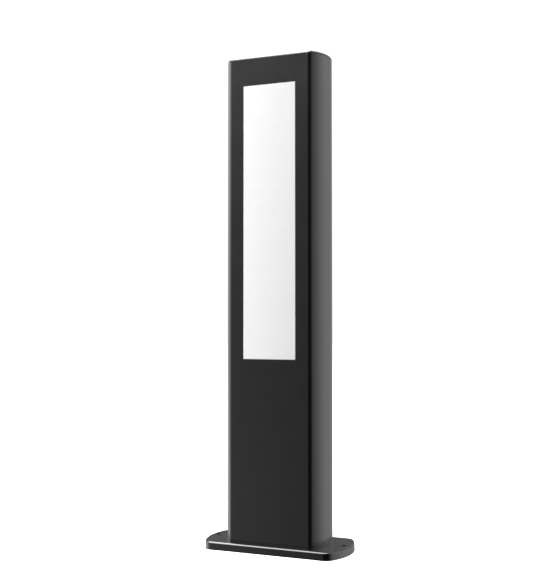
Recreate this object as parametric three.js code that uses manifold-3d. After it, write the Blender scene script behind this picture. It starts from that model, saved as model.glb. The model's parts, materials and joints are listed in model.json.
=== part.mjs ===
// Bollard light: a barrel-section post with an opal window, on a small fixing plate.
// Millimetres, +Z up, the lit face looks along -Y, the origin is the centre of the plate's underside.
import * as THREE from 'three';
import { mergeVertices } from 'three/addons/utils/BufferGeometryUtils.js';
import Module from 'manifold-3d';

const wasm = await Module();
wasm.setup();

// ---------------------------------------------------------------- driving dimensions
const HEIGHT = 650;                 // plate underside to the top of the cap
const GAP = 0.3;                    // clearance between pieces that touch
const WALL = 2.5;                   // post wall, rear cover and diffuser flange

// A barrel outline: flat front and back, bowed sides and rounded corners.
const POST = { halfWidth: 71, halfDepth: 36, centreY: 1, sideRadius: 53.4, cornerRadius: 6.5 };
const PLATE = { halfWidth: 100, halfDepth: 48, centreY: 0, sideRadius: 85, cornerRadius: 12 };
const PLATE_THICKNESS = 10.5;
const PLATE_EDGE = 2.5;             // rounding of the plate's top edge
const PLATE_HOLE_X = 90;            // fixing holes, either side of the centre
const PLATE_HOLE_R = 3.25;

const CAP_THICKNESS = 3;            // also the radius of its rounded rim
const POST_Z0 = PLATE_THICKNESS + GAP;
const CAP_Z = HEIGHT - CAP_THICKNESS;
const POST_Z1 = CAP_Z - GAP;

const WINDOW = { halfWidth: 37, z0: 250, z1: 611 };
const FRONT_Y = POST.centreY - POST.halfDepth;   // plane of the lit face
const REAR_Y = POST.centreY + POST.halfDepth;
const INNER_FRONT_Y = FRONT_Y + WALL;
const FLANGE = { halfWidth: 43, z0: 244, z1: 617, y0: FRONT_Y + 3.8, y1: FRONT_Y + 6.3 };

const CHANNEL = { x: 56, y: 17, radius: 4.5, bore: 2.6 };   // screw channels of the post
const SLOT_RIB = { x: 48, halfWidth: 3.2, slotHalf: 1.5, y1: FLANGE.y1 };
const TRAY_RIB = { x: 61, y0: -6, y1: -3.5 };
const TRAY = { halfWidth: 64, y0: -8.3, y1: -6.3, z0: 236, z1: 628 };
const COVER = { halfWidth: 51.5, y0: REAR_Y - WALL, y1: REAR_Y };
const LEDGE = { x: 48.6, x0: 45.5, x1: 60.5, y0: REAR_Y - 6.6, y1: REAR_Y - 3.6 };

const RAIL = { x0: 38.5, x1: 51, y0: FLANGE.y1 + GAP, y1: FLANGE.y1 + 2.3 };
const REFLECTOR = { backHalf: 13.5, backZ0: 255, backZ1: 608, frontY: RAIL.y1 + 0.5, wall: 1 };
const BOARD = { halfWidth: 12, length: 168, thickness: 1.6, z0: 262, pitch: 14 };
const LED = { side: 3.5, height: 0.8 };

const DRIVER = { halfWidth: 21, y0: -5.7, y1: 19.3, z0: 340, z1: 520, wall: 1.5, corner: 3 };
const BRACKET = { z0: 84, z1: 176 };
const BLOCK = { halfWidth: 20, y0: -6, y1: 13, z0: 112, z1: 142, pitch: 12 };
const BUTTON = { halfX: 2.5, halfZ: 4, y0: 8.5, y1: 14.5 };
const EARTH = { x: 40, z: 150 };

const GLAND = { thread: 10, hexFlat: 24, bore: 5, hexZ1: 20, bodyZ1: 26, capZ1: 36 };
const GLAND_RECESS = { radius: 17, depth: 5.5 };

const SCREW_M5 = { head: 4.2, headHeight: 4.2, shank: 2.3, socket: 2, sides: 8 };
const SCREW_M3 = { head: 2.8, headHeight: 1.8, shank: 1.2, socket: 1, sides: 8 };
const SCREW_CSK5 = { head: 4.4, headHeight: 2.4, shank: 2.3, socket: 1.6, sides: 8 };
const SCREW_CSK3 = { head: 2.8, headHeight: 1.6, shank: 1.2, socket: 1, sides: 8 };
const HOLE_M3 = SCREW_M3.shank + GAP;

const ROUND_SIDES = 12;             // sides of a drawn circle
const SIDE_STEPS = 8;               // steps along a bowed side
const CORNER_STEPS = 3;             // steps round a corner
const EDGE_STEPS = 3;               // steps round an edge

// ---------------------------------------------------------------- materials
const finish = (color, roughness, metalness) => (
  new THREE.MeshStandardMaterial({ color, roughness, metalness })
);
const POWDER_COAT = finish(0x2b2c2e, 0.5, 0.2);
const OPAL = finish(0xf4f4f2, 0.35, 0);
const RUBBER = finish(0x141414, 0.85, 0);
const STEEL = finish(0x9a9c9e, 0.35, 1);
const ALUMINIUM = finish(0xb9bbbd, 0.45, 1);
const WHITE_PLASTIC = finish(0xeeeeec, 0.6, 0);
const BOARD_WHITE = finish(0xf2f2ee, 0.5, 0);
const GREY_PLASTIC = finish(0x8d9194, 0.5, 0);
const ORANGE_PLASTIC = finish(0xd9731e, 0.45, 0);
const BLACK_PLASTIC = finish(0x1b1b1c, 0.6, 0);
const BROWN_LEAD = finish(0x5a3420, 0.6, 0);
const BLUE_LEAD = finish(0x2b57a0, 0.6, 0);
const GREEN_LEAD = finish(0x4f9a3a, 0.6, 0);

// ---------------------------------------------------------------- solids
function toSolid(geometry) {
  const bare = geometry.clone();
  bare.deleteAttribute('normal');
  bare.deleteAttribute('uv');
  const merged = mergeVertices(bare, 1e-4);
  const corners = merged.index.array;
  const triangles = [];
  for (let i = 0; i < corners.length; i += 3) {
    const [a, b, c] = corners.slice(i, i + 3);
    if (a !== b && b !== c && c !== a) triangles.push(a, b, c);
  }
  return new wasm.Manifold(new wasm.Mesh({
    numProp: 3,
    vertProperties: merged.attributes.position.array,
    triVerts: Uint32Array.from(triangles),
  }));
}

function toGeometry(solid) {
  const mesh = solid.getMesh();
  const geometry = new THREE.BufferGeometry();
  geometry.setAttribute('position', new THREE.BufferAttribute(mesh.vertProperties, 3));
  geometry.setIndex(new THREE.BufferAttribute(mesh.triVerts, 1));
  geometry.computeVertexNormals();
  return geometry;
}

const join = (...solids) => solids.reduce((all, next) => all.add(next));
const cut = (solid, ...tools) => tools.reduce((all, next) => all.subtract(next), solid);

function box(x0, x1, y0, y1, z0, z1) {
  const geometry = new THREE.BoxGeometry(x1 - x0, y1 - y0, z1 - z0);
  geometry.translate((x0 + x1) / 2, (y0 + y1) / 2, (z0 + z1) / 2);
  return toSolid(geometry);
}

// A turned solid about the Z axis from a closed profile of [radius, z] pairs.
function turned(profile, sides = ROUND_SIDES) {
  const points = profile.map(([radius, z]) => new THREE.Vector2(radius, z));
  return toSolid(new THREE.LatheGeometry(points, sides).rotateX(Math.PI / 2));
}

function cylinder(x, y, radius, z0, z1, sides = ROUND_SIDES) {
  const geometry = new THREE.CylinderGeometry(radius, radius, z1 - z0, sides);
  geometry.rotateX(Math.PI / 2);
  geometry.translate(x, y, (z0 + z1) / 2);
  return toSolid(geometry);
}

// A round bar along Y, for holes through the front, the tray, the brackets and the rear cover.
function barY(x, z, radius, y0, y1, sides = ROUND_SIDES) {
  const geometry = new THREE.CylinderGeometry(radius, radius, y1 - y0, sides);
  geometry.translate(x, (y0 + y1) / 2, z);
  return toSolid(geometry);
}

// Points of a barrel outline, moved inwards by inset (or outwards where it is negative).
function barrelOutline(size, inset = 0) {
  const centreX = size.halfWidth - size.sideRadius;
  const cornerY = size.halfDepth - size.cornerRadius;
  const reach = size.sideRadius - size.cornerRadius;
  const cornerX = centreX + Math.sqrt(reach * reach - cornerY * cornerY);
  const turn = Math.atan2(cornerY, cornerX - centreX);
  const side = size.sideRadius - inset;
  const corner = size.cornerRadius - inset;
  const half = Math.PI / 2;
  const arcs = [
    [centreX, 0, side, -turn, turn, SIDE_STEPS],
    [cornerX, cornerY, corner, turn, half, CORNER_STEPS],
    [-cornerX, cornerY, corner, half, Math.PI - turn, CORNER_STEPS],
    [-centreX, 0, side, Math.PI - turn, Math.PI + turn, SIDE_STEPS],
    [-cornerX, -cornerY, corner, Math.PI + turn, 3 * half, CORNER_STEPS],
    [cornerX, -cornerY, corner, 3 * half, 4 * half - turn, CORNER_STEPS],
  ];
  const points = [];
  for (const [x, y, radius, from, to, steps] of arcs) {
    for (let i = 0; i <= steps; i += 1) {
      const angle = from + ((to - from) * i) / steps;
      const point = new THREE.Vector2(
        x + radius * Math.cos(angle),
        size.centreY + y + radius * Math.sin(angle),
      );
      if (!points.length || points[points.length - 1].distanceTo(point) > 1e-3) points.push(point);
    }
  }
  if (points[0].distanceTo(points[points.length - 1]) < 1e-3) points.pop();
  return points;
}

// A solid through a stack of barrel outlines, given as [inset, z] from the bottom up.
function stacked(size, levels) {
  const rings = levels.map(([inset, z]) => (
    barrelOutline(size, inset).map((p) => [p.x, p.y, z])
  ));
  const count = rings[0].length;
  const positions = rings.flat();
  const bottom = positions.length;
  positions.push([0, 0, levels[0][1]], [0, 0, levels[levels.length - 1][1]]);
  const triangles = [];
  for (let level = 0; level < rings.length - 1; level += 1) {
    for (let i = 0; i < count; i += 1) {
      const a = level * count + i;
      const b = level * count + ((i + 1) % count);
      triangles.push(a, b, b + count, a, b + count, a + count);
    }
  }
  const last = (rings.length - 1) * count;
  for (let i = 0; i < count; i += 1) {
    const next = (i + 1) % count;
    triangles.push(bottom, next, i, bottom + 1, last + i, last + next);
  }
  const geometry = new THREE.BufferGeometry();
  geometry.setAttribute('position', new THREE.Float32BufferAttribute(positions.flat(), 3));
  geometry.setIndex(triangles);
  return toSolid(geometry);
}

const barrel = (inset, z0, z1) => stacked(POST, [[inset, z0], [inset, z1]]);
const ringSeal = (z0, z1) => cut(barrel(0.8, z0, z1), barrel(2.3, z0 - 1, z1 + 1));
const sealGroove = (inset, z0, z1) => cut(barrel(inset, z0, z1), barrel(2.6, z0 - 1, z1 + 1));

// Insets and heights of a convex rounded edge of radius r, whose flat top is at z.
function roundedEdge(r, z) {
  const levels = [];
  for (let i = 0; i <= EDGE_STEPS; i += 1) {
    const angle = (Math.PI / 2) * (i / EDGE_STEPS);
    levels.push([r * (1 - Math.cos(angle)), z - r + r * Math.sin(angle)]);
  }
  return levels;
}

// A frame or rod through four back corners and four front corners, all walls sloped alike.
function frustumY(back, front) {
  const corners = [];
  for (const { half, y, z0, z1 } of [back, front]) {
    corners.push([-half, y, z0], [half, y, z0], [half, y, z1], [-half, y, z1]);
  }
  const faces = [[0, 1, 2, 3], [7, 6, 5, 4], [4, 5, 1, 0], [5, 6, 2, 1], [6, 7, 3, 2], [7, 4, 0, 3]];
  const triangles = faces.flatMap(([a, b, c, d]) => [a, c, b, a, d, c]);
  const geometry = new THREE.BufferGeometry();
  geometry.setAttribute('position', new THREE.Float32BufferAttribute(corners.flat(), 3));
  geometry.setIndex(triangles);
  return toSolid(geometry);
}

function hexPrism(flat, z0, z1) {
  return cylinder(0, 0, flat / Math.sqrt(3), z0, z1, 6);
}

// ---------------------------------------------------------------- scene helpers
const bollard = new THREE.Group();

function add(name, solid, material) {
  const mesh = new THREE.Mesh(toGeometry(solid), material);
  mesh.name = name;
  bollard.add(mesh);
  return mesh;
}

// A screw along Z with the top of its head at z = 0 and a socket in it.
function screwSolid(size, length, countersunk = false) {
  const socketZ = -size.headHeight * 0.6;
  const neck = countersunk ? [] : [[size.head, -size.headHeight]];
  return turned([
    [0, -length], [size.shank, -length], [size.shank, -size.headHeight], ...neck,
    [size.head, 0], [size.socket, 0], [size.socket, socketZ], [0, socketZ],
  ], size.sides);
}

// Stands a screw with its head at a point and its shank along the opposite of `out`.
function addScrew(name, solid, out, x, y, z) {
  const screw = add(name, solid, STEEL);
  screw.quaternion.setFromUnitVectors(new THREE.Vector3(0, 0, 1), out);
  screw.position.set(x, y, z);
}

const UP = new THREE.Vector3(0, 0, 1);
const DOWN = new THREE.Vector3(0, 0, -1);
const FRONT = new THREE.Vector3(0, -1, 0);
const REAR = new THREE.Vector3(0, 1, 0);
const SIDES = [['left', -1], ['right', 1]];
const QUADRANTS = [[-1, -1], [1, -1], [1, 1], [-1, 1]];

// A lead of round section along a smooth curve through the given points.
function lead(points, radius, steps) {
  const section = new THREE.Shape();
  section.absarc(0, 0, radius, 0, 2 * Math.PI);
  const path = new THREE.CatmullRomCurve3(points.map((p) => new THREE.Vector3(...p)));
  return toSolid(new THREE.ExtrudeGeometry(section, {
    steps, curveSegments: 4, bevelEnabled: false, extrudePath: path,
  }));
}

// The range from a to b on the side s of the middle, in rising order.
const spanned = (s, a, b) => [Math.min(s * a, s * b), Math.max(s * a, s * b)];

// Tongues that stand inside the post's front wall and side walls and locate it.
function locatingTongues(z0, z1) {
  const inner = INNER_FRONT_Y + 0.4;
  const front = box(-30, 30, inner, inner + 2.5, z0, z1);
  const sides = SIDES.map(([, s]) => box(...spanned(s, 64.4, 67), 2, 10, z0, z1));
  return join(front, ...sides);
}

// ---------------------------------------------------------------- base
function makeBase() {
  const headRecess = 5.2;
  const plate = stacked(PLATE, [[0.5, 0], [0, 0.5], ...roundedEdge(PLATE_EDGE, PLATE_THICKNESS)]);
  let base = join(plate, locatingTongues(PLATE_THICKNESS - 1, PLATE_THICKNESS + 11));
  base = cut(
    base,
    sealGroove(-0.1, PLATE_THICKNESS - 1.1, PLATE_THICKNESS + 1),
    cylinder(0, 0, GLAND.thread + GAP, -1, PLATE_THICKNESS + 1, 16),
    cylinder(0, 0, GLAND_RECESS.radius, -1, GLAND_RECESS.depth, 16),
  );
  for (const side of [-1, 1]) {
    base = cut(base, cylinder(side * PLATE_HOLE_X, 0, PLATE_HOLE_R, -1, PLATE_THICKNESS + 1, 16));
  }
  for (const [sx, sy] of QUADRANTS) {
    const [x, y] = [sx * CHANNEL.x, sy * CHANNEL.y];
    base = cut(
      base,
      cylinder(x, y, SCREW_M5.shank + GAP, -1, PLATE_THICKNESS + 1),
      cylinder(x, y, headRecess, -1, 5.5),
    );
  }
  add('base_casting', base, POWDER_COAT);
  add('base_gasket', ringSeal(PLATE_THICKNESS - 0.8, PLATE_THICKNESS), RUBBER);
  QUADRANTS.forEach(([sx, sy], i) => {
    const screw = screwSolid(SCREW_M5, 26);
    addScrew(`base_screw_${i + 1}`, screw, DOWN, sx * CHANNEL.x, sy * CHANNEL.y, 1);
  });
}

// ---------------------------------------------------------------- cable gland
function makeGland() {
  const { thread, bore, hexFlat, hexZ1, bodyZ1, capZ1 } = GLAND;
  const seatR = 7.5;
  const body = cut(
    join(
      cylinder(0, 0, thread, 0.6, PLATE_THICKNESS + 1, 16),
      hexPrism(hexFlat, PLATE_THICKNESS + GAP, hexZ1),
      cylinder(0, 0, thread, hexZ1 - 1, bodyZ1, 16),
    ),
    cylinder(0, 0, bore, 0, bodyZ1 + 1, 16),
    cylinder(0, 0, seatR, 14, bodyZ1 + 1, 16),
  );
  add('gland_body', body, BLACK_PLASTIC);
  add('gland_seal', cut(
    cylinder(0, 0, seatR - GAP, 14.3, 27, 16),
    cylinder(0, 0, 4.5, 14, 28, 16),
  ), RUBBER);
  add('gland_cap', cut(
    join(hexPrism(hexFlat, hexZ1 + GAP, 31), turned([
      [0, 30], [12, 30], [12, 31], [7, capZ1], [0, capZ1],
    ], 16)),
    cylinder(0, 0, thread + GAP, hexZ1, 27.5, 16),
    cylinder(0, 0, 5.5, 27, capZ1 + 1, 16),
  ), BLACK_PLASTIC);
  add('gland_locknut', cut(
    hexPrism(hexFlat, 1.6, GLAND_RECESS.depth - GAP),
    cylinder(0, 0, thread + GAP, 0, GLAND_RECESS.depth, 16),
  ), BLACK_PLASTIC);
}

// ---------------------------------------------------------------- post, rear cover and cap
const COVER_SCREW_Z = [40, 330, 620];
const TRAY_SCREW_Z = [244, 622];
const BRACKET_SCREW_Z = 92;
const RAIL_SCREW_Z = [270, 591];

function makePost() {
  const z0 = POST_Z0;
  const z1 = POST_Z1;
  const outer = barrel(0, z0, z1);
  let post = cut(outer, barrel(WALL, z0 - 1, z1 + 1));
  for (const s of [-1, 1]) {
    const rib = spanned(s, SLOT_RIB.x - SLOT_RIB.halfWidth, SLOT_RIB.x + SLOT_RIB.halfWidth);
    const slot = spanned(s, SLOT_RIB.x - SLOT_RIB.slotHalf, SLOT_RIB.x + SLOT_RIB.slotHalf);
    post = join(
      post,
      box(...spanned(s, LEDGE.x0, LEDGE.x1), LEDGE.y0, REAR_Y - 1.5, z0, z1).intersect(outer),
      box(...spanned(s, TRAY_RIB.x - 3, 68.5), TRAY_RIB.y0, TRAY_RIB.y1, z0, z1),
      box(...rib, INNER_FRONT_Y - 0.5, SLOT_RIB.y1, z0, z1),
    );
    post = cut(post, box(...slot, INNER_FRONT_Y + 1, SLOT_RIB.y1 + 1, z0 - 1, z1 + 1));
  }
  for (const [sx, sy] of QUADRANTS) {
    const web = new THREE.BoxGeometry(10.5, 3, z1 - z0).translate(5.25, 0, (z0 + z1) / 2);
    const out = Math.atan2(CHANNEL.y, CHANNEL.x - (POST.halfWidth - POST.sideRadius));
    web.rotateZ(sx > 0 ? sy * out : Math.PI - sy * out);
    web.translate(sx * CHANNEL.x, sy * CHANNEL.y, 0);
    post = join(post, toSolid(web), cylinder(sx * CHANNEL.x, sy * CHANNEL.y, CHANNEL.radius, z0, z1));
  }
  for (const [sx, sy] of QUADRANTS) {
    post = cut(post, cylinder(sx * CHANNEL.x, sy * CHANNEL.y, CHANNEL.bore, z0 - 1, z1 + 1, 8));
  }
  const opening = COVER.halfWidth + GAP;
  post = cut(
    post,
    box(-opening, opening, LEDGE.y1, COVER.y1 + 1, z0 - 1, z1 + 1),
    box(-WINDOW.halfWidth, WINDOW.halfWidth, FRONT_Y - 1, INNER_FRONT_Y + 1, WINDOW.z0, WINDOW.z1),
  );
  for (const s of [-1, 1]) {
    for (const z of COVER_SCREW_Z) {
      post = cut(post, barY(s * LEDGE.x, z, HOLE_M3, LEDGE.y0 - 1, LEDGE.y1 + 1, 8));
    }
    for (const z of [...TRAY_SCREW_Z, BRACKET_SCREW_Z]) {
      post = cut(post, barY(s * TRAY_RIB.x, z, HOLE_M3, TRAY_RIB.y0 - 1, TRAY_RIB.y1 + 1, 8));
    }
  }
  add('post_profile', post, POWDER_COAT);
}

function makeRearCover() {
  const { halfWidth, y0, y1 } = COVER;
  const z0 = POST_Z0 + GAP;
  const z1 = POST_Z1 - GAP;
  let cover = box(-halfWidth, halfWidth, y0, y1, z0, z1);
  for (const s of [-1, 1]) {
    for (const z of COVER_SCREW_Z) {
      const sink = turned([
        [0, -4], [HOLE_M3, -4], [HOLE_M3, -SCREW_CSK3.headHeight - 0.2],
        [SCREW_CSK3.head + GAP, 0.01], [SCREW_CSK3.head + GAP, 1], [0, 1],
      ], SCREW_CSK3.sides);
      cover = cut(cover, sink.rotate([-90, 0, 0]).translate([s * LEDGE.x, y1, z]));
    }
  }
  add('rear_cover', cover, POWDER_COAT);
  for (const [side, s] of SIDES) {
    let seal = box(...spanned(s, LEDGE.x0, 51.2), LEDGE.y1 + 0.2, y0 - 0.2, z0, z1);
    COVER_SCREW_Z.forEach((z) => { seal = cut(seal, barY(s * LEDGE.x, z, 1.9, LEDGE.y1, y0, 8)); });
    add(`cover_seal_${side}`, seal, RUBBER);
    COVER_SCREW_Z.forEach((z, i) => {
      addScrew(`cover_screw_${side}_${i + 1}`, screwSolid(SCREW_CSK3, 7.5, true), REAR, s * LEDGE.x, y1, z);
    });
  }
}

function makeCap() {
  let cap = join(
    stacked(POST, roundedEdge(CAP_THICKNESS, HEIGHT)),
    locatingTongues(CAP_Z - 8, CAP_Z + 0.5),
  );
  cap = cut(cap, sealGroove(0.5, CAP_Z - 1, CAP_Z + 1.1));
  for (const [sx, sy] of QUADRANTS) {
    const sink = turned([
      [0, -4], [SCREW_CSK5.shank + GAP, -4], [SCREW_CSK5.shank + GAP, -SCREW_CSK5.headHeight - 0.2],
      [SCREW_CSK5.head + GAP, 0.01], [SCREW_CSK5.head + GAP, 1], [0, 1],
    ], SCREW_CSK5.sides);
    cap = cut(cap, sink.translate([sx * CHANNEL.x, sy * CHANNEL.y, HEIGHT]));
  }
  add('top_cap', cap, POWDER_COAT);
  add('cap_gasket', ringSeal(CAP_Z, CAP_Z + 0.8), RUBBER);
  QUADRANTS.forEach(([sx, sy], i) => {
    const screw = screwSolid(SCREW_CSK5, 18, true);
    addScrew(`cap_screw_${i + 1}`, screw, UP, sx * CHANNEL.x, sy * CHANNEL.y, HEIGHT);
  });
}

// ---------------------------------------------------------------- window
function makeWindow() {
  const flange = box(-FLANGE.halfWidth, FLANGE.halfWidth, FLANGE.y0, FLANGE.y1, FLANGE.z0, FLANGE.z1);
  const half = WINDOW.halfWidth - GAP;
  const panel = box(-half, half, FRONT_Y, FLANGE.y0 + 0.5, WINDOW.z0 + GAP, WINDOW.z1 - GAP);
  add('diffuser', join(flange, panel), OPAL);
  add('diffuser_gasket', cut(
    box(-FLANGE.halfWidth, FLANGE.halfWidth, INNER_FRONT_Y + 0.2, FLANGE.y0 - 0.2, FLANGE.z0, FLANGE.z1),
    box(-half - 0.8, half + 0.8, INNER_FRONT_Y - 1, FLANGE.y0 + 1, WINDOW.z0 - 0.5, WINDOW.z1 + 0.5),
  ), RUBBER);
  for (const [side, s] of SIDES) {
    let rail = box(...spanned(s, RAIL.x0, RAIL.x1), RAIL.y0, RAIL.y1, FLANGE.z0, FLANGE.z1);
    RAIL_SCREW_Z.forEach((z) => {
      rail = cut(rail, barY(s * SLOT_RIB.x, z, HOLE_M3, RAIL.y0 - 1, RAIL.y1 + 1));
    });
    add(`clamp_rail_${side}`, rail, ALUMINIUM);
    RAIL_SCREW_Z.forEach((z, i) => {
      const head = RAIL.y1 + GAP + SCREW_M3.headHeight;
      addScrew(`clamp_screw_${side}_${i + 1}`, screwSolid(SCREW_M3, 6.6), REAR, s * SLOT_RIB.x, head, z);
    });
  }
}

// ---------------------------------------------------------------- light engine
const boardZ = (i) => BOARD.z0 + i * (BOARD.length + 1);
const BOARD_SCREW_OFFSET = 79;

function makeLightEngine() {
  const { backHalf, backZ0, backZ1, frontY, wall } = REFLECTOR;
  const backY = TRAY.y0 - GAP;
  const { halfWidth, z0: windowZ0, z1: windowZ1 } = WINDOW;
  const shell = (grow, past) => frustumY(
    { half: backHalf + grow, y: backY + past, z0: backZ0 - grow, z1: backZ1 + grow },
    { half: halfWidth - 1 + grow, y: frontY - past, z0: windowZ0 + 1 - grow, z1: windowZ1 - 1 + grow },
  );
  add('reflector', cut(shell(wall, 0), shell(0, 0.2)), WHITE_PLASTIC);

  let tray = box(-TRAY.halfWidth, TRAY.halfWidth, TRAY.y0, TRAY.y1, TRAY.z0, TRAY.z1);
  const through = (x, z, r) => { tray = cut(tray, barY(x, z, r, TRAY.y0 - 1, TRAY.y1 + 1, 8)); };
  for (const s of [-1, 1]) TRAY_SCREW_Z.forEach((z) => through(s * TRAY_RIB.x, z, HOLE_M3));
  through(0, 603, 2.4);
  DRIVER_SCREW_Z.forEach((z) => through(0, z, HOLE_M3));
  [0, 1].forEach((i) => through(0, boardZ(i) + BOARD_SCREW_OFFSET, HOLE_M3));
  add('led_tray', tray, ALUMINIUM);
  TRAY_SCREW_Z.forEach((z, i) => {
    const s = i === 0 ? -1 : 1;
    const head = TRAY.y0 - GAP - SCREW_M3.headHeight;
    addScrew(`tray_screw_${i + 1}`, screwSolid(SCREW_M3, 7.5), FRONT, s * TRAY_RIB.x, head, z);
  });

  ['lower', 'upper'].forEach((place, i) => {
    const z0 = boardZ(i);
    const y1 = backY;
    const y0 = y1 - BOARD.thickness;
    let board = box(-BOARD.halfWidth, BOARD.halfWidth, y0, y1, z0, z0 + BOARD.length);
    for (let z = z0 + BOARD.pitch + 2; z < z0 + BOARD.length - BOARD.pitch; z += BOARD.pitch) {
      const h = LED.side / 2;
      board = join(board, box(-h, h, y0 - LED.height, y0 + 0.2, z - h, z + h));
    }
    const screwZ = z0 + BOARD_SCREW_OFFSET;
    board = cut(board, barY(0, screwZ, HOLE_M3, y0 - 1, y1 + 1, 8));
    add(`led_board_${place}`, board, BOARD_WHITE);
    const head = y0 - GAP - SCREW_M3.headHeight;
    addScrew(`board_screw_${place}`, screwSolid(SCREW_M3, 5.6), FRONT, 0, head, screwZ);
  });
}

// ---------------------------------------------------------------- driver
const LUG_LENGTH = 12;
const END_FLANGE = 3;
const DRIVER_SCREW_Z = [DRIVER.z0 - END_FLANGE - 7, DRIVER.z1 + END_FLANGE + 7];

function roundedRect(halfX, y0, y1, corner) {
  const shape = new THREE.Shape();
  shape.moveTo(halfX - corner, y0);
  shape.absarc(halfX - corner, y0 + corner, corner, -Math.PI / 2, 0);
  shape.absarc(halfX - corner, y1 - corner, corner, 0, Math.PI / 2);
  shape.absarc(-halfX + corner, y1 - corner, corner, Math.PI / 2, Math.PI);
  shape.absarc(-halfX + corner, y0 + corner, corner, Math.PI, 1.5 * Math.PI);
  return shape;
}

function driverSection(inset, z0, z1) {
  const { halfWidth, y0, y1, corner } = DRIVER;
  const shape = roundedRect(halfWidth - inset, y0 + inset, y1 - inset, corner - inset);
  const geometry = new THREE.ExtrudeGeometry(shape, {
    depth: z1 - z0, curveSegments: 3, bevelEnabled: false,
  });
  return toSolid(geometry.translate(0, 0, z0));
}

function makeDriver() {
  const { z0, z1, wall, y0 } = DRIVER;
  add('driver_case', cut(driverSection(0, z0, z1), driverSection(wall, z0 - 1, z1 + 1)), ALUMINIUM);
  const leadHoles = { lower: [[-8, 12], [8, 12]], upper: [[0, 12]] };
  for (const [place, face, out] of [['lower', z0, -1], ['upper', z1, 1]]) {
    const span = (a, b) => [a, b].map((t) => face + out * t).sort((p, q) => p - q);
    let end = join(
      driverSection(0, ...span(GAP, END_FLANGE)),
      driverSection(wall + GAP, ...span(-6, 1)),
      box(-7, 7, y0, y0 + 3, ...span(1, END_FLANGE + LUG_LENGTH)),
    );
    for (const [x, y] of leadHoles[place]) {
      end = cut(end, cylinder(x, y, 1.8, ...span(-7, END_FLANGE + 1), 8));
    }
    const screwZ = face + out * (END_FLANGE + 7);
    end = cut(end, barY(0, screwZ, HOLE_M3, y0 - 1, y0 + 4, 8));
    add(`driver_end_${place}`, end, WHITE_PLASTIC);
    const head = y0 + 3 + GAP + SCREW_M3.headHeight;
    addScrew(`driver_screw_${place}`, screwSolid(SCREW_M3, 7.2), REAR, 0, head, screwZ);
  }
}

// ---------------------------------------------------------------- terminals and earth
function makeTerminals() {
  let bracket = box(-TRAY.halfWidth, TRAY.halfWidth, TRAY.y0, TRAY.y1, BRACKET.z0, BRACKET.z1);
  for (const s of [-1, 1]) {
    bracket = cut(
      bracket,
      barY(s * TRAY_RIB.x, BRACKET_SCREW_Z, HOLE_M3, TRAY.y0 - 1, TRAY.y1 + 1, 8),
      barY(s * 15, BLOCK.z0 + 15, 2.3, TRAY.y0 - 1, TRAY.y1 + 1, 8),
    );
  }
  bracket = cut(bracket, barY(EARTH.x, EARTH.z, HOLE_M3, TRAY.y0 - 1, TRAY.y1 + 1, 8));
  add('terminal_bracket', bracket, ALUMINIUM);
  for (const [side, s] of SIDES) {
    const head = TRAY.y0 - GAP - SCREW_M3.headHeight;
    const screw = screwSolid(SCREW_M3, 7.5);
    addScrew(`bracket_screw_${side}`, screw, FRONT, s * TRAY_RIB.x, head, BRACKET_SCREW_Z);
  }

  const { halfWidth, y0, y1, z0, z1, pitch } = BLOCK;
  const midZ = (z0 + z1) / 2;
  let block = box(-halfWidth, halfWidth, y0, y1, z0, z1);
  for (const s of [-1, 1]) block = join(block, barY(s * 15, z0 + 15, 2, TRAY.y0 + 0.2, y0 + 1, 8));
  const poles = [-pitch, 0, pitch];
  for (const x of poles) {
    block = cut(
      block,
      box(x - BUTTON.halfX - GAP, x + BUTTON.halfX + GAP, BUTTON.y0 - 2, y1 + 1,
        midZ - BUTTON.halfZ - GAP, midZ + BUTTON.halfZ + GAP),
      box(x - 2.2, x + 2.2, -0.7, 3.7, z0 - 1, z0 + 9),
      box(x - 2.2, x + 2.2, -0.7, 3.7, z1 - 9, z1 + 1),
    );
  }
  add('terminal_block', block, GREY_PLASTIC);
  poles.forEach((x, i) => {
    const button = box(x - BUTTON.halfX, x + BUTTON.halfX, BUTTON.y0, BUTTON.y1,
      midZ - BUTTON.halfZ, midZ + BUTTON.halfZ);
    add(`terminal_button_${i + 1}`, button, ORANGE_PLASTIC);
  });

  const tag = join(
    barY(EARTH.x, EARTH.z, 4, y0, y0 + 0.8),
    box(EARTH.x - 2, EARTH.x + 2, y0, y0 + 0.8, EARTH.z + 2, EARTH.z + 12),
  );
  add('earth_tag', cut(tag, barY(EARTH.x, EARTH.z, HOLE_M3, y0 - 1, y0 + 2, 8)), STEEL);
  const head = y0 + 0.8 + GAP + SCREW_M3.headHeight;
  addScrew('earth_screw', screwSolid(SCREW_M3, 8), REAR, EARTH.x, head, EARTH.z);
}

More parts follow.
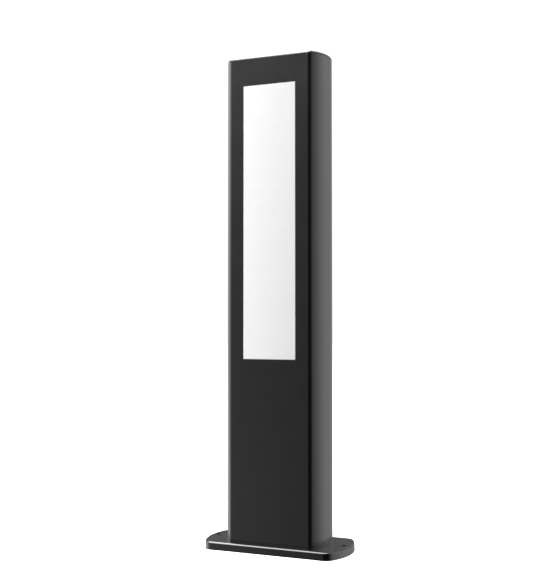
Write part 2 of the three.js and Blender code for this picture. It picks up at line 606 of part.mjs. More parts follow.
// ---------------------------------------------------------------- leads, at their real routes
function makeLeads() {
  const radius = 1.1;
  const entryZ = BLOCK.z1 - 6;
  const endZ = DRIVER.z0 + 4;
  const supply = (x0, x1) => [
    [x0, 1.5, entryZ], [x0, 1.5, entryZ + 22], [x0, 4, entryZ + 60],
    [x1, 11, endZ - 60], [x1, 12, endZ - 25], [x1, 12, endZ],
  ];
  add('lead_live', lead(supply(-BLOCK.pitch, -8), radius, 16), BROWN_LEAD);
  add('lead_neutral', lead(supply(0, 8), radius, 16), BLUE_LEAD);
  add('lead_earth', lead([
    [BLOCK.pitch, 1.5, entryZ], [BLOCK.pitch, 1.5, entryZ + 14], [17, 2.5, entryZ + 30],
    [30, 1, entryZ + 38], [EARTH.x - 1, -2, EARTH.z + 22], [EARTH.x, -3.6, EARTH.z + 14],
    [EARTH.x, -3.7, EARTH.z + 7],
  ], radius, 16), GREEN_LEAD);
  add('led_cable', lead([
    [0, 12, DRIVER.z1 - 4], [0, 12, DRIVER.z1 + 16], [0, 9, 560], [0, 3, 592],
    [0, -2, 601.5], [0, -7.3, 603], [0, -11, 601.5], [0, -11.9, 597], [0, -11.9, 594.5],
  ], radius, 18), WHITE_PLASTIC);
}

makeBase();
makeGland();
makePost();
makeRearCover();
makeCap();
makeWindow();
makeLightEngine();
makeDriver();
makeTerminals();
makeLeads();

export default bollard;
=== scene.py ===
"""Looks for the bollard light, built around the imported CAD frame. Metres, +Z up, lit face towards -Y."""

import json
import math

import bmesh
import bpy
from mathutils import Euler, Matrix, Vector


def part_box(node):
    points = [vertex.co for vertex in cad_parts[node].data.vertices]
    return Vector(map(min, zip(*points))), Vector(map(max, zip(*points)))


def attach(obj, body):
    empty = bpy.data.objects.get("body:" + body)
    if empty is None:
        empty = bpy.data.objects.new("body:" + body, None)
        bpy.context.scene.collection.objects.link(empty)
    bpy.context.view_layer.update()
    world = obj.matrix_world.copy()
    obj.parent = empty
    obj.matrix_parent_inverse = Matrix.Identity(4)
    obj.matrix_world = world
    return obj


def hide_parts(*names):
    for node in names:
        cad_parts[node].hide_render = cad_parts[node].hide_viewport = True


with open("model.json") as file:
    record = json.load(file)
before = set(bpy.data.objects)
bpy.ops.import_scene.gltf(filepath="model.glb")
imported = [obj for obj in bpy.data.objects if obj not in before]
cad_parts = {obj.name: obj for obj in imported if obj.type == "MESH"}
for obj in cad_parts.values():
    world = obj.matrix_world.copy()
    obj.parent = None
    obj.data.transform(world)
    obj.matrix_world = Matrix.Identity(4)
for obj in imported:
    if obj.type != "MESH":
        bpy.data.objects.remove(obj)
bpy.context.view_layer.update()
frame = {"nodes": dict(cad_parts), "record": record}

MM = 0.001
ROOT = "bollard"

# ------------------------------------------------------------------ sizes, from the frame where it has them
POST_LOW, POST_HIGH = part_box("post_profile")
BASE_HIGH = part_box("base_casting")[1]
CAP_LOW, CAP_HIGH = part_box("top_cap")
COVER_LOW, COVER_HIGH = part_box("rear_cover")
DIFFUSER_LOW, DIFFUSER_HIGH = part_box("diffuser")

GAP = 0.3 * MM
WALL = COVER_HIGH.y - COVER_LOW.y
CAP_EDGE = 3 * MM
CAP_Z = CAP_HIGH.z - CAP_EDGE
PLATE_TOP = 10.5 * MM
PLATE_EDGE = 2.5 * MM
RECESS_DEPTH = 5.5 * MM
HOLE_X = 90 * MM
HOLE_R = 3.25 * MM
WINDOW_HALF = 37 * MM
WINDOW_Z0 = 250 * MM
WINDOW_Z1 = 611 * MM
FRONT_Y = POST_LOW.y

# A barrel outline: flat front and back, bowed sides, rounded corners.
POST = {"half_width": POST_HIGH.x, "half_depth": (POST_HIGH.y - POST_LOW.y) / 2,
        "centre_y": (POST_HIGH.y + POST_LOW.y) / 2, "side_radius": 53.4 * MM, "corner_radius": 6.5 * MM}
PLATE = {"half_width": BASE_HIGH.x, "half_depth": BASE_HIGH.y, "centre_y": 0.0,
         "side_radius": 85 * MM, "corner_radius": 12 * MM}

SAME_POINT = 1e-7
SIDE_STEPS = 40
CORNER_STEPS = 8
EDGE_STEPS = 8
ROUND_SIDES = 40


# ------------------------------------------------------------------ mesh helpers
def mesh_object(name, vertices, faces):
    mesh = bpy.data.meshes.new(name)
    mesh.from_pydata([tuple(v) for v in vertices], [], faces)
    mesh.validate()
    made = bpy.data.objects.new(name, mesh)
    bpy.context.scene.collection.objects.link(made)
    return made


def outward(made):
    """Turns every face of a closed mesh outwards."""
    work = bmesh.new()
    work.from_mesh(made.data)
    bmesh.ops.recalc_face_normals(work, faces=work.faces)
    work.to_mesh(made.data)
    work.free()
    return made


def arc(x, y, radius, start, end, steps):
    turns = [start + (end - start) * i / steps for i in range(steps + 1)]
    return [(x + radius * math.cos(t), y + radius * math.sin(t)) for t in turns]


def barrel_geometry(size):
    """Centre of the side arc, centre of the corner arc, and the angle where they meet."""
    side_x = size["half_width"] - size["side_radius"]
    corner_y = size["half_depth"] - size["corner_radius"]
    reach = size["side_radius"] - size["corner_radius"]
    corner_x = side_x + math.sqrt(reach ** 2 - corner_y ** 2)
    return side_x, corner_x, corner_y, math.atan2(corner_y, corner_x - side_x)


def barrel(size, inset=0.0):
    """Points of a barrel outline moved inwards by inset."""
    side_x, corner_x, corner_y, turn = barrel_geometry(size)
    side = size["side_radius"] - inset
    corner = size["corner_radius"] - inset
    half = math.pi / 2
    arcs = [
        arc(side_x, 0, side, -turn, turn, SIDE_STEPS),
        arc(corner_x, corner_y, corner, turn, half, CORNER_STEPS),
        arc(-corner_x, corner_y, corner, half, math.pi - turn, CORNER_STEPS),
        arc(-side_x, 0, side, math.pi - turn, math.pi + turn, SIDE_STEPS),
        arc(-corner_x, -corner_y, corner, math.pi + turn, 3 * half, CORNER_STEPS),
        arc(corner_x, -corner_y, corner, 3 * half, 4 * half - turn, CORNER_STEPS),
    ]
    points = []
    for stretch in arcs:
        joined = points and near(points[-1], stretch[0])
        points += stretch[1:] if joined else stretch
    if near(points[0], points[-1]):
        points.pop()
    return [(x, y + size["centre_y"]) for x, y in points]


def near(a, b):
    return math.dist(a, b) < SAME_POINT


def stack(name, loops):
    """A closed solid through loops of equal length, from the bottom loop to the top one."""
    count = len(loops[0])
    vertices = [point for loop in loops for point in loop]
    faces = [tuple(reversed(range(count)))]
    for level in range(len(loops) - 1):
        low = level * count
        for i in range(count):
            j = (i + 1) % count
            faces.append((low + i, low + j, low + count + j, low + count + i))
    faces.append(tuple(range((len(loops) - 1) * count, len(loops) * count)))
    return outward(mesh_object(name, vertices, faces))


def barrel_stack(name, size, levels):
    return stack(name, [[(x, y, z) for x, y in barrel(size, inset)] for inset, z in levels])


def rounded_edge(radius, top, steps=EDGE_STEPS):
    """Insets and heights of a convex rounded edge whose flat top is at the given height."""
    turns = [math.pi / 2 * i / steps for i in range(steps + 1)]
    return [(radius * (1 - math.cos(t)), top - radius + radius * math.sin(t)) for t in turns]


def prism(name, outline, z0, z1):
    return stack(name, [[(x, y, z) for x, y in outline] for z in (z0, z1)])


def cuboid(name, low, high):
    outline = [(low[0], low[1]), (high[0], low[1]), (high[0], high[1]), (low[0], high[1])]
    return prism(name, outline, low[2], high[2])


def circle(radius, sides=ROUND_SIDES, x=0.0, y=0.0):
    return [(x + radius * math.cos(2 * math.pi * i / sides), y + radius * math.sin(2 * math.pi * i / sides))
            for i in range(sides)]


def turned(name, profile, sides=ROUND_SIDES):
    """A turned solid about Z from (radius, z) pairs, bottom to top, with flat ends."""
    return stack(name, [[(x, y, z) for x, y in circle(radius, sides)] for radius, z in profile])


def settled(made):
    """Applies every modifier of an object and returns it."""
    bpy.context.view_layer.update()
    graph = bpy.context.evaluated_depsgraph_get()
    mesh = bpy.data.meshes.new_from_object(made.evaluated_get(graph))
    made.modifiers.clear()
    old = made.data
    made.data = mesh
    bpy.data.meshes.remove(old)
    return made


def combine(target, tools, operation):
    """Cuts or joins the target with each tool in turn, and removes the tools."""
    for tool in tools:
        boolean = target.modifiers.new("combine", "BOOLEAN")
        boolean.operation = operation
        boolean.solver = "EXACT"
        boolean.object = tool
        settled(target)
        bpy.data.objects.remove(tool)
    return target


def cut(target, *tools):
    return combine(target, tools, "DIFFERENCE")


def join(target, *tools):
    return combine(target, tools, "UNION")


def soften(made, width, segments=2, angle=35):
    """Rounds the sharp edges a little, and shades the piece smoothly."""
    bevel = made.modifiers.new("edges", "BEVEL")
    bevel.width = width
    bevel.segments = segments
    bevel.limit_method = "ANGLE"
    bevel.angle_limit = math.radians(angle)
    bevel.use_clamp_overlap = True
    bevel.miter_outer = "MITER_ARC"
    settled(made)
    return smooth(made)


def smooth(made, angle=40):
    made.data.shade_smooth()
    made.data.set_sharp_from_angle(angle=math.radians(angle))
    weighted = made.modifiers.new("normals", "WEIGHTED_NORMAL")
    weighted.keep_sharp = True
    weighted.weight = 80
    return settled(made)


# ------------------------------------------------------------------ material helpers
def material(name):
    made = bpy.data.materials.new(name)
    made.use_nodes = True
    nodes = made.node_tree.nodes
    return made, made.node_tree.links, nodes, nodes["Principled BSDF"]


def noise(nodes, links, scale, detail=3.0, roughness=0.5):
    """A noise texture in the object's own metres."""
    place = nodes.new("ShaderNodeTexCoord")
    texture = nodes.new("ShaderNodeTexNoise")
    texture.inputs["Scale"].default_value = scale
    texture.inputs["Detail"].default_value = detail
    texture.inputs["Roughness"].default_value = roughness
    links.new(place.outputs["Object"], texture.inputs["Vector"])
    return texture


def spread(nodes, links, source, low, high):
    """Maps a 0 to 1 value onto low to high."""
    mapped = nodes.new("ShaderNodeMapRange")
    mapped.inputs["From Min"].default_value = 0.3
    mapped.inputs["From Max"].default_value = 0.7
    mapped.inputs["To Min"].default_value = low
    mapped.inputs["To Max"].default_value = high
    links.new(source, mapped.inputs["Value"])
    return mapped.outputs["Result"]


def tinted(nodes, links, source, dark, light):
    """A colour between dark and light, led by a 0 to 1 value."""
    ramp = nodes.new("ShaderNodeValToRGB")
    ramp.color_ramp.elements[0].position = 0.3
    ramp.color_ramp.elements[1].position = 0.7
    ramp.color_ramp.elements[0].color = (*dark, 1)
    ramp.color_ramp.elements[1].color = (*light, 1)
    links.new(source, ramp.inputs["Fac"])
    return ramp.outputs["Color"]


def bumped(nodes, links, shader, height, strength, distance):
    """Gives a shader a fine relief, of a distance in metres."""
    bump = nodes.new("ShaderNodeBump")
    bump.inputs["Strength"].default_value = strength
    bump.inputs["Distance"].default_value = distance
    links.new(height, bump.inputs["Height"])
    links.new(bump.outputs["Normal"], shader.inputs["Normal"])


def powder_coat():
    """Dark grey powder coat under a clear layer: fine orange peel, slight changes of gloss and shade."""
    made, links, nodes, shader = material("powder_coat")
    cloud = noise(nodes, links, 35, 4)
    links.new(tinted(nodes, links, cloud.outputs["Fac"], (0.0032, 0.0033, 0.0035), (0.0044, 0.0045, 0.0048)),
              shader.inputs["Base Color"])
    links.new(spread(nodes, links, cloud.outputs["Fac"], 0.23, 0.27), shader.inputs["Roughness"])
    shader.inputs["IOR"].default_value = 1.5
    shader.inputs["Coat Weight"].default_value = 1.0
    shader.inputs["Coat Roughness"].default_value = 0.20
    shader.inputs["Coat IOR"].default_value = 1.5
    peel = noise(nodes, links, 900, 2)
    bumped(nodes, links, shader, peel.outputs["Fac"], 0.08, 0.00006)
    return made


def opal():
    """Opal polycarbonate lit from behind, a little stronger on one side."""
    made, links, nodes, shader = material("opal")
    place = nodes.new("ShaderNodeTexCoord")
    split = nodes.new("ShaderNodeSeparateXYZ")
    links.new(place.outputs["Object"], split.inputs["Vector"])
    across = nodes.new("ShaderNodeMapRange")
    across.inputs["From Min"].default_value = -WINDOW_HALF
    across.inputs["From Max"].default_value = WINDOW_HALF
    across.inputs["To Min"].default_value = 0.43
    across.inputs["To Max"].default_value = 0.28
    links.new(split.outputs["X"], across.inputs["Value"])
    links.new(across.outputs["Result"], shader.inputs["Emission Strength"])
    shader.inputs["Emission Color"].default_value = (1.0, 1.0, 1.0, 1)
    grain = noise(nodes, links, 60, 3)
    links.new(tinted(nodes, links, grain.outputs["Fac"], (0.50, 0.50, 0.50), (0.52, 0.52, 0.52)),
              shader.inputs["Base Color"])
    shader.inputs["Roughness"].default_value = 0.4
    bumped(nodes, links, shader, noise(nodes, links, 1500, 2).outputs["Fac"], 0.05, 0.00005)
    return made


def moulded(name, dark, light, roughness, grain=700, depth=0.00006):
    """Moulded plastic or rubber: fine grain and a little variation."""
    made, links, nodes, shader = material(name)
    cloud = noise(nodes, links, 80, 4)
    links.new(tinted(nodes, links, cloud.outputs["Fac"], dark, light), shader.inputs["Base Color"])
    links.new(spread(nodes, links, cloud.outputs["Fac"], roughness - 0.05, roughness + 0.05),
              shader.inputs["Roughness"])
    bumped(nodes, links, shader, noise(nodes, links, grain, 3).outputs["Fac"], 0.2, depth)
    return made


def brushed(name, shade, roughness, stretch):
    """Bare metal with fine grain drawn out along one axis."""
    made, links, nodes, shader = material(name)
    place = nodes.new("ShaderNodeTexCoord")
    mapping = nodes.new("ShaderNodeMapping")
    mapping.inputs["Scale"].default_value = stretch
    grain = nodes.new("ShaderNodeTexNoise")
    grain.inputs["Scale"].default_value = 400
    grain.inputs["Detail"].default_value = 4
    links.new(place.outputs["Object"], mapping.inputs["Vector"])
    links.new(mapping.outputs["Vector"], grain.inputs["Vector"])
    light = tuple(min(1.0, c * 1.12) for c in shade)
    links.new(tinted(nodes, links, grain.outputs["Fac"], shade, light), shader.inputs["Base Color"])
    links.new(spread(nodes, links, grain.outputs["Fac"], roughness - 0.06, roughness + 0.06),
              shader.inputs["Roughness"])
    shader.inputs["Metallic"].default_value = 1.0
    bumped(nodes, links, shader, grain.outputs["Fac"], 0.15, 0.00003)
    return made


MATERIALS = {
    "powder_coat": powder_coat(),
    "opal": opal(),
    "rubber": moulded("rubber", (0.012, 0.012, 0.012), (0.02, 0.02, 0.02), 0.75),
    "stainless": brushed("stainless", (0.30, 0.305, 0.31), 0.40, (1, 1, 1)),
    "aluminium": brushed("aluminium", (0.56, 0.57, 0.58), 0.38, (1, 1, 0.03)),
    "white_plastic": moulded("white_plastic", (0.78, 0.78, 0.76), (0.84, 0.84, 0.82), 0.5),
    "board_white": moulded("board_white", (0.80, 0.80, 0.76), (0.86, 0.86, 0.82), 0.35),
    "grey_plastic": moulded("grey_plastic", (0.24, 0.26, 0.27), (0.29, 0.31, 0.32), 0.45),
    "orange_plastic": moulded("orange_plastic", (0.62, 0.16, 0.02), (0.72, 0.2, 0.03), 0.4),
    "black_plastic": moulded("black_plastic", (0.012, 0.012, 0.013), (0.02, 0.02, 0.021), 0.5),
    "lead_brown": moulded("lead_brown", (0.09, 0.03, 0.012), (0.12, 0.04, 0.018), 0.45),
    "lead_blue": moulded("lead_blue", (0.02, 0.09, 0.34), (0.03, 0.12, 0.4), 0.45),
    "lead_green": moulded("lead_green", (0.07, 0.28, 0.04), (0.1, 0.36, 0.06), 0.45),
}
SLOTS = {entry["node"]: entry["material_slot"] for entry in frame["record"]["subparts"]}


def finish_piece(made, node, body=ROOT):
    """Gives a piece the finish of the CAD node it stands for, and puts it on that node's body."""
    made.data.materials.clear()
    made.data.materials.append(MATERIALS[SLOTS[node]])
    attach(made, body)
    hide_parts(node)
    return made


# ------------------------------------------------------------------ screws
def hex_screw(name, head, head_height, shank, length, countersunk):
    """A screw along Z with the top of its head at z = 0 and a hexagonal socket in it."""
    neck = [] if countersunk else [(head, -head_height + 0.2 * MM), (head - 0.2 * MM, -head_height)]
    lip = 0.15 * MM
    profile = [(shank * 0.7, -length), (shank, -length + 0.6 * MM), (shank, -head_height), *reversed(neck),
               (head, -lip * 2), (head - lip, 0)]
    body = turned(name, profile)
    key, depth = (head * 0.4, head_height * 0.8) if countersunk else (head * 0.52, head_height * 0.6)
    levels = [(key * 0.1, -depth - key * 0.5), (key, -depth), (key, 1 * MM)]
    socket = turned("socket", levels, 6)
    return soften(cut(body, socket), 0.12 * MM, 1, 30)


def stand(made, out, place):
    """Turns a piece made along Z so that its top faces `out`, and puts that top at a place."""
    turn = Vector((0, 0, 1)).rotation_difference(Vector(out)).to_matrix().to_4x4()
    made.data.transform(Matrix.Translation(place) @ turn)
    return made


def screw_like(node, out, head, head_height, shank, countersunk):
    """A fine screw in the place of a CAD one, whose box gives its line and its length."""
    low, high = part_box(node)
    axis = [abs(value) for value in out].index(1)
    top = high[axis] if out[axis] > 0 else low[axis]
    place = (low + high) / 2
    place[axis] = top
    made = hex_screw(node + "_fine", head, head_height, shank, high[axis] - low[axis], countersunk)
    return finish_piece(stand(made, out, place), node)


UP = (0, 0, 1)
DOWN = (0, 0, -1)
REAR = (0, 1, 0)


def make_screws():
    for i in range(1, 5):
        screw_like(f"cap_screw_{i}", UP, 4.4 * MM, 2.4 * MM, 2.3 * MM, True)
        screw_like(f"base_screw_{i}", DOWN, 4.2 * MM, 4.2 * MM, 2.3 * MM, False)
    for side in ("left", "right"):
        for i in range(1, 4):
            screw_like(f"cover_screw_{side}_{i}", REAR, 2.8 * MM, 1.6 * MM, 1.2 * MM, True)


# ------------------------------------------------------------------ post
def post_section():
    """Half of the post's section, from the middle of the front round the outside and back inside."""
    side_x, corner_x, corner_y, turn = barrel_geometry(POST)
    middle = POST["centre_y"]
    half = math.pi / 2
    outer = POST["side_radius"]
    inner = outer - WALL
    corner = POST["corner_radius"]
    opening = COVER_HIGH.x + GAP
    ledge_x, ledge_low, ledge_high = 45.5 * MM, POST_HIGH.y - 6.6 * MM, POST_HIGH.y - 3.6 * MM
    rib_x, rib_low, rib_high = 58 * MM, -6 * MM, -3.5 * MM
    block_end, slot_end, wall_y = -28.7 * MM, -31.5 * MM, FRONT_Y + WALL

    def inner_turn(y):
        return math.asin((y - middle) / inner)

    path = [(0, FRONT_Y), *arc(corner_x, middle - corner_y, corner, -half, -turn, CORNER_STEPS)]
    path += arc(side_x, middle, outer, -turn, turn, SIDE_STEPS)[1:]
    path += arc(corner_x, middle + corner_y, corner, turn, half, CORNER_STEPS)[1:]
    path += [(opening, POST_HIGH.y), (opening, ledge_high), (ledge_x, ledge_high), (ledge_x, ledge_low)]
    path += arc(side_x, middle, inner, inner_turn(ledge_low), inner_turn(rib_high), SIDE_STEPS // 2)
    path += [(rib_x, rib_high), (rib_x, rib_low)]
    path += arc(side_x, middle, inner, inner_turn(rib_low), -turn, SIDE_STEPS // 2)
    path += arc(corner_x, middle - corner_y, corner - WALL, -turn, -half, CORNER_STEPS)[1:]
    block_far, slot_far, slot_near, block_near = (x * MM for x in (51.2, 49.5, 46.5, 44.8))
    path += [(block_far, wall_y), (block_far, block_end), (slot_far, block_end), (slot_far, slot_end),
             (slot_near, slot_end), (slot_near, block_end), (block_near, block_end),
             (block_near, wall_y), (0, wall_y)]
    return path


def make_post():
    """The extrusion, standing straight on the plate, with the window cut in its front wall."""
    right = post_section()
    left = [(-x, y) for x, y in reversed(right[1:-1])]
    post = prism("post_body", right + left, PLATE_TOP + 0.05 * MM, POST_HIGH.z)
    window = cuboid("window", (-WINDOW_HALF, FRONT_Y - WALL, WINDOW_Z0),
                    (WINDOW_HALF, FRONT_Y + 2 * WALL, WINDOW_Z1))
    corners = window.modifiers.new("corners", "BEVEL")
    corners.width = 0.8 * MM
    corners.segments = 3
    settled(window)
    cut(post, window)
    return finish_piece(soften(post, 0.15 * MM, 2), "post_profile")


def countersink(name, head, shank, depth, out, place):
    """A cutter for a countersunk hole: a cone at the surface and a straight hole below."""
    cone = [(shank, -depth - 4 * MM), (shank, -depth), (head, 0), (head, 1 * MM)]
    return stand(turned(name, cone), out, place)


def make_rear_cover():
    cover = cuboid("rear_cover_panel", COVER_LOW, COVER_HIGH)
    for side in ("left", "right"):
        for i in range(1, 4):
            low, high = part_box(f"cover_screw_{side}_{i}")
            place = Vector(((low.x + high.x) / 2, COVER_HIGH.y, (low.z + high.z) / 2))
            cut(cover, countersink("sink", 3.1 * MM, 1.5 * MM, 1.8 * MM, REAR, place))
    return finish_piece(soften(cover, 0.35 * MM, 2), "rear_cover")


# ------------------------------------------------------------------ cap
def tongues(z0, z1):
    """The tongues that stand inside the post and locate the cap or the base."""
    wall_y = FRONT_Y + WALL + 0.4 * MM
    made = [cuboid("tongue", (-30 * MM, wall_y, z0), (30 * MM, wall_y + 2.5 * MM, z1))]
    for side in (-1, 1):
        near_x, far_x = sorted((side * 64.4 * MM, side * 67 * MM))
        made.append(cuboid("tongue", (near_x, 2 * MM, z0), (far_x, 10 * MM, z1)))
    return made


def seal_groove(z0, z1):
    outside = barrel_stack("groove", POST, [(0.5 * MM, z0), (0.5 * MM, z1)])
    return cut(outside, barrel_stack("core", POST, [(2.6 * MM, z0 - MM), (2.6 * MM, z1 + MM)]))


def make_cap():
    edge = rounded_edge(CAP_EDGE, CAP_HIGH.z, 12)
    levels = [(0.2 * MM, CAP_Z), *[(inset, max(z, CAP_Z + 0.15 * MM)) for inset, z in edge]]
    cap = barrel_stack("cap_shell", POST, levels)
    join(cap, *tongues(CAP_LOW.z, CAP_Z + 0.5 * MM))
    cut(cap, seal_groove(CAP_Z - MM, CAP_Z + 1.1 * MM))
    for i in range(1, 5):
        low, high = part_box(f"cap_screw_{i}")
        place = Vector(((low.x + high.x) / 2, (low.y + high.y) / 2, CAP_HIGH.z))
        cut(cap, countersink("sink", 4.7 * MM, 2.6 * MM, 2.6 * MM, UP, place))
    return finish_piece(smooth(cap, 32), "top_cap")


# ------------------------------------------------------------------ base
def make_base():
    """The plate with its tongues and groove, the cable entry and the recesses of the screws below."""
    plate_levels = [(0.3 * MM, 0.0), (0.08 * MM, 0.08 * MM), (0.0, 0.3 * MM)]
    plate = barrel_stack("base_plate", PLATE, plate_levels + rounded_edge(PLATE_EDGE, PLATE_TOP, 12))
    join(plate, *tongues(PLATE_TOP - MM, BASE_HIGH.z))
    cut(plate, seal_groove(PLATE_TOP - 1.1 * MM, PLATE_TOP + MM))
    holes = [prism("bore", circle(10.3 * MM), -MM, PLATE_TOP + MM),
             prism("recess", circle(17 * MM), -MM, RECESS_DEPTH)]
    for i in range(1, 5):
        low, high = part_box(f"base_screw_{i}")
        x, y = (low.x + high.x) / 2, (low.y + high.y) / 2
        holes += [prism("hole", circle(2.6 * MM, x=x, y=y), -MM, PLATE_TOP + MM),
                  prism("recess", circle(5.2 * MM, x=x, y=y), -MM, RECESS_DEPTH)]
    cut(plate, *holes)
    soften(plate, 0.25 * MM, 2, 50)
    cut(plate, *[prism("hole", circle(HOLE_R, x=side * HOLE_X), -MM, PLATE_TOP + MM) for side in (-1, 1)])
    return finish_piece(smooth(plate, 50), "base_casting")


# ------------------------------------------------------------------ diffuser
def make_diffuser():
    """A flange behind the front wall, with a step that fills the window up to the face."""
    flange_y = FRONT_Y + 3.8 * MM
    flange = cuboid("opal_panel", (DIFFUSER_LOW.x, flange_y, DIFFUSER_LOW.z), DIFFUSER_HIGH)
    half = WINDOW_HALF - 0.2 * MM
    panel = cuboid("step", (-half, FRONT_Y, WINDOW_Z0 + 0.2 * MM),
                   (half, flange_y + MM, WINDOW_Z1 - 0.2 * MM))
    join(flange, panel)
    return finish_piece(soften(flange, 0.4 * MM, 3, 50), "diffuser")


# ------------------------------------------------------------------ CAD nodes that stay
def dress_cad_nodes():
    for name, node in frame["nodes"].items():
        if node.hide_render:
            continue
        node.data.materials.clear()
        node.data.materials.append(MATERIALS[SLOTS[name]])


# ------------------------------------------------------------------ camera, floor and light
def make_camera():
    """A camera 300 mm above the floor, in front of the object and to its right, looking slightly up."""
    lens = bpy.data.cameras.new("camera")
    lens.sensor_width = 36
    lens.lens = 63.6
    camera = bpy.data.objects.new("camera", lens)
    camera.location = (0.5323, -1.2442, 0.3002)
    camera.rotation_euler = Euler((math.radians(91.911), 0, math.radians(23.70)))
    bpy.context.scene.collection.objects.link(camera)
    bpy.context.scene.camera = camera


def make_floor():
    """A pale floor that only the camera sees, with dark discs under the fixing holes as painted shade for the
    plate's shadow there.
    """
    floor = mesh_object("floor", [(x * 12, y * 12, 0) for x, y in circle(1.0, 96)], [tuple(range(96))])
    made, links, nodes, shader = material("floor")
    cloud = noise(nodes, links, 3, 2)
    links.new(tinted(nodes, links, cloud.outputs["Fac"], (0.86, 0.86, 0.86), (0.88, 0.88, 0.88)),
              shader.inputs["Base Color"])
    shader.inputs["Roughness"].default_value = 0.9
    shader.inputs["Specular IOR Level"].default_value = 0.0
    shader.inputs["Emission Color"].default_value = (1, 1, 1, 1)
    shader.inputs["Emission Strength"].default_value = 0.75
    floor.data.materials.append(made)
    floor.visible_glossy = False
    floor.visible_diffuse = False
    # Painted shade: dark discs just above the floor under the two fixing holes stand in for the plate's
    # shadow on the floor, seen through the holes.
    for side in (-1, 1):
        shade_disc_outline = [(x, y, 0.2 * MM) for x, y in circle(6 * MM, x=side * HOLE_X)]
        shade_disc = mesh_object("painted_shade_under_hole", shade_disc_outline, [tuple(range(ROUND_SIDES))])
        shade_disc.data.materials.append(MATERIALS["rubber"])


# Brightness of the studio at eye level: (azimuth from the front towards +X in degrees, level).
STUDIO = [(-180, 0.36), (-156, 0.13), (-130, 0.48), (-100, 1.1), (-74, 1.5), (-52, 0.95), (-38, 0.55),
          (-30, 0.40), (-26, 0.28), (-22, 0.185), (-17, 0.09), (-8, 0.02), (0, 0.01), (44, 0.01), (56, 0.04),
          (68, 0.17), (81, 0.42), (95, 0.80), (109, 1.08), (127, 1.13), (145, 0.78), (158, 0.50), (170, 0.38),
          (180, 0.36)]
# What the front of the studio adds above and below eye level: by azimuth, and by the sine of the height.
LIFT = [(-180, 0.0), (-130, 0.0), (-84, 1.1), (-60, 0.5), (-30, 0.22), (-22, 0.06), (-12, 0.0), (0, 0.0),
        (180, 0.0)]
LIFT_HEIGHT = [(-1.0, 1.2), (-0.21, 1.2), (-0.06, 0.0), (0.04, 0.0), (0.25, 1.0), (0.5, 1.0), (1.0, 0.5)]
# How the studio fades below the object's foot, by the sine of the height.
FADE = [(-1.0, 0.02), (-0.45, 0.12), (-0.31, 0.55), (-0.20, 1.0), (1.0, 1.0)]


def math_node(nodes, operation, *values):
    """A Math node with the given fixed inputs."""
    made = nodes.new("ShaderNodeMath")
    made.operation = operation
    for slot, value in zip(made.inputs, values):
        slot.default_value = value
    return made


def combined(nodes, links, operation, first, second):
    """The result of a Math node that takes two linked values."""
    made = math_node(nodes, operation)
    links.new(first, made.inputs[0])
    links.new(second, made.inputs[1])
    return made.outputs[0]


def curve(nodes, links, source, stops, low, high):
    """A value that follows (position, level) stops, whose positions run from low to high."""
    along = nodes.new("ShaderNodeMapRange")
    along.inputs["From Min"].default_value = low
    along.inputs["From Max"].default_value = high
    links.new(source, along.inputs["Value"])
    ramp = nodes.new("ShaderNodeValToRGB")
    ramp.color_ramp.interpolation = "EASE"
    brightest = max(level for _, level in stops)
    elements = ramp.color_ramp.elements
    while len(elements) < len(stops):
        elements.new(0.5)
    for element, (position, level) in zip(elements, stops):
        shade = level / brightest
        element.position = (position - low) / (high - low)
        element.color = (shade, shade, shade, 1)
    links.new(along.outputs["Result"], ramp.inputs["Fac"])
    scaled = math_node(nodes, "MULTIPLY", 0.0, brightest)
    links.new(ramp.outputs["Color"], scaled.inputs[0])
    return scaled.outputs[0]


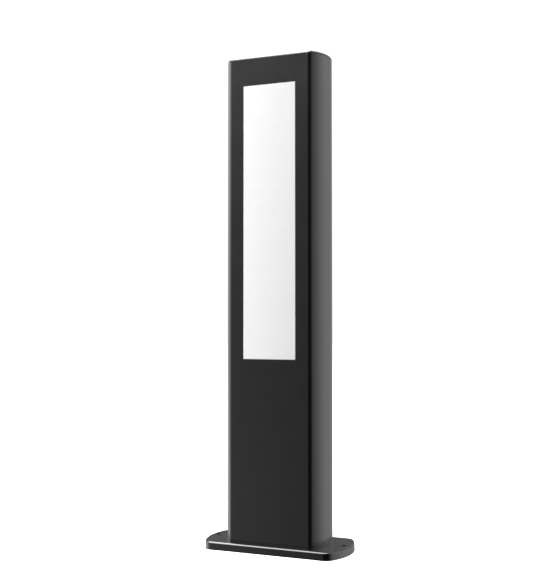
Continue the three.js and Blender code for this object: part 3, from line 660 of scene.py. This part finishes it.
def make_world():
    """White paper where the camera looks past the object, and a studio that the object mirrors."""
    world = bpy.data.worlds.new("studio")
    bpy.context.scene.world = world
    world.use_nodes = True
    nodes, links = world.node_tree.nodes, world.node_tree.links
    nodes.clear()
    place = nodes.new("ShaderNodeTexCoord")
    split = nodes.new("ShaderNodeSeparateXYZ")
    links.new(place.outputs["Generated"], split.inputs["Vector"])
    front = math_node(nodes, "MULTIPLY", 0.0, -1.0)
    links.new(split.outputs["Y"], front.inputs[0])
    azimuth = math_node(nodes, "ARCTAN2")
    links.new(split.outputs["X"], azimuth.inputs[0])
    links.new(front.outputs[0], azimuth.inputs[1])
    degrees = math_node(nodes, "DEGREES")
    links.new(azimuth.outputs[0], degrees.inputs[0])
    level = curve(nodes, links, degrees.outputs[0], STUDIO, -180, 180)
    lift = combined(nodes, links, "MULTIPLY", curve(nodes, links, degrees.outputs[0], LIFT, -180, 180),
                    curve(nodes, links, split.outputs["Z"], LIFT_HEIGHT, -1, 1))
    fade = curve(nodes, links, split.outputs["Z"], FADE, -1, 1)
    total = combined(nodes, links, "MULTIPLY", combined(nodes, links, "ADD", level, lift), fade)
    studio = nodes.new("ShaderNodeBackground")
    studio.inputs["Color"].default_value = (1, 1, 1, 1)
    links.new(total, studio.inputs["Strength"])
    paper = nodes.new("ShaderNodeBackground")
    paper.inputs["Color"].default_value = (1, 1, 1, 1)
    paper.inputs["Strength"].default_value = 1.05
    rays = nodes.new("ShaderNodeLightPath")
    mix = nodes.new("ShaderNodeMixShader")
    links.new(rays.outputs["Is Camera Ray"], mix.inputs["Fac"])
    links.new(studio.outputs["Background"], mix.inputs[1])
    links.new(paper.outputs["Background"], mix.inputs[2])
    output = nodes.new("ShaderNodeOutputWorld")
    links.new(mix.outputs["Shader"], output.inputs["Surface"])


def make_softbox(name, place, aim, width, height, power):
    """A rectangular light at a place, facing its aim."""
    light = bpy.data.lights.new(name, "AREA")
    light.shape = "RECTANGLE"
    light.size = width
    light.size_y = height
    light.energy = power
    made = bpy.data.objects.new(name, light)
    made.location = place
    made.rotation_euler = (Vector(aim) - Vector(place)).to_track_quat("-Z", "Y").to_euler()
    bpy.context.scene.collection.objects.link(made)
    return made


def make_stage():
    make_camera()
    make_floor()
    make_world()
    make_softbox("overhead_long", (-1.25, -0.3, 2.4), (-1.25, -0.3, 0.0), 1.5, 5.6, 200)
    make_softbox("overhead_front", (0.3, -0.8, 2.4), (0.3, -0.8, 0.0), 1.6, 1.5, 66)
    bpy.context.scene.view_settings.view_transform = "Standard"


make_stage()
make_post()
make_rear_cover()
make_cap()
make_base()
make_diffuser()
make_screws()
dress_cad_nodes()
